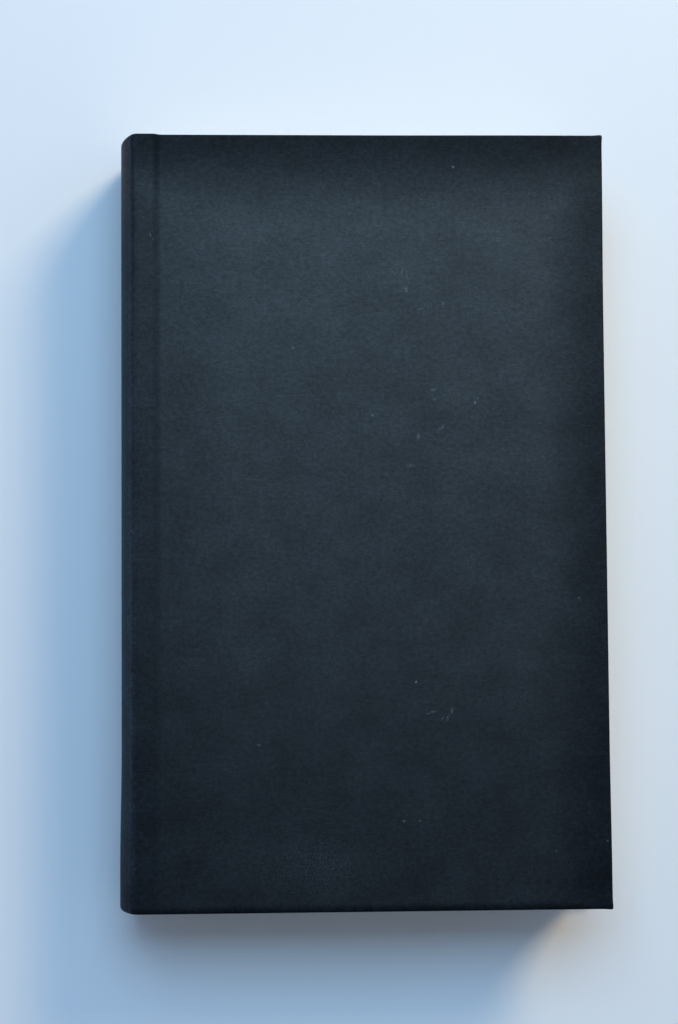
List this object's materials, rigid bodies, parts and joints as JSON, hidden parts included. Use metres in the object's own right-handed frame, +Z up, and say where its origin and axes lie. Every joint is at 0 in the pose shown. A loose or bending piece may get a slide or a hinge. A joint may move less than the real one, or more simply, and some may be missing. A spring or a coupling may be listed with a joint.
{
  "type": "book",
  "caption": "Closed hardback book: leaves in a dark cloth case with a rounded spine and grooved joints; both covers open on hinges.",
  "frame": {"origin": "on the surface the book lies on, under the middle of its bounding box", "axes": "+X from the spine to the fore edge, +Y from the tail to the head, +Z up from the back cover to the front cover"},
  "size_m": [0.1394, 0.222, 0.033],
  "materials": {
    "bookcloth": "matt blue-black book cloth, finely mottled",
    "leaves": "uncoated cream book paper, trimmed edges",
    "endpaper": "smooth uncoated off-white endpaper",
    "greyboard": "rough grey board",
    "mull": "open starched cotton mull",
    "lining_paper": "brown kraft lining paper",
    "band": "woven cotton band with a corded edge"
  },
  "bodies": {
    "book_block": {"text_block": "leaves", "spine_mull": "mull", "spine_lining": "lining_paper", "spine_card": "greyboard", "spine_cloth": "bookcloth", "head_band": "band", "tail_band": "band", "front_flyleaf": "endpaper", "rear_flyleaf": "endpaper"},
    "front_cover": {"front_board": "greyboard", "front_cloth": "bookcloth", "front_mull_flap": "mull", "front_pastedown": "endpaper"},
    "back_cover": {"back_board": "greyboard", "back_cloth": "bookcloth", "back_mull_flap": "mull", "rear_pastedown": "endpaper"}
  },
  "joints": [
    {"name": "front_cover_hinge", "type": "hinge", "parent": "book_block", "child": "front_cover", "pos_m": [-0.06354, 0, 0.0327], "axis": [0, -1, 0], "range_deg": [0, 179]},
    {"name": "back_cover_hinge", "type": "hinge", "parent": "book_block", "child": "back_cover", "pos_m": [-0.06354, 0, 0.0003], "axis": [0, 1, 0], "range_deg": [0, 179]}
  ]
}
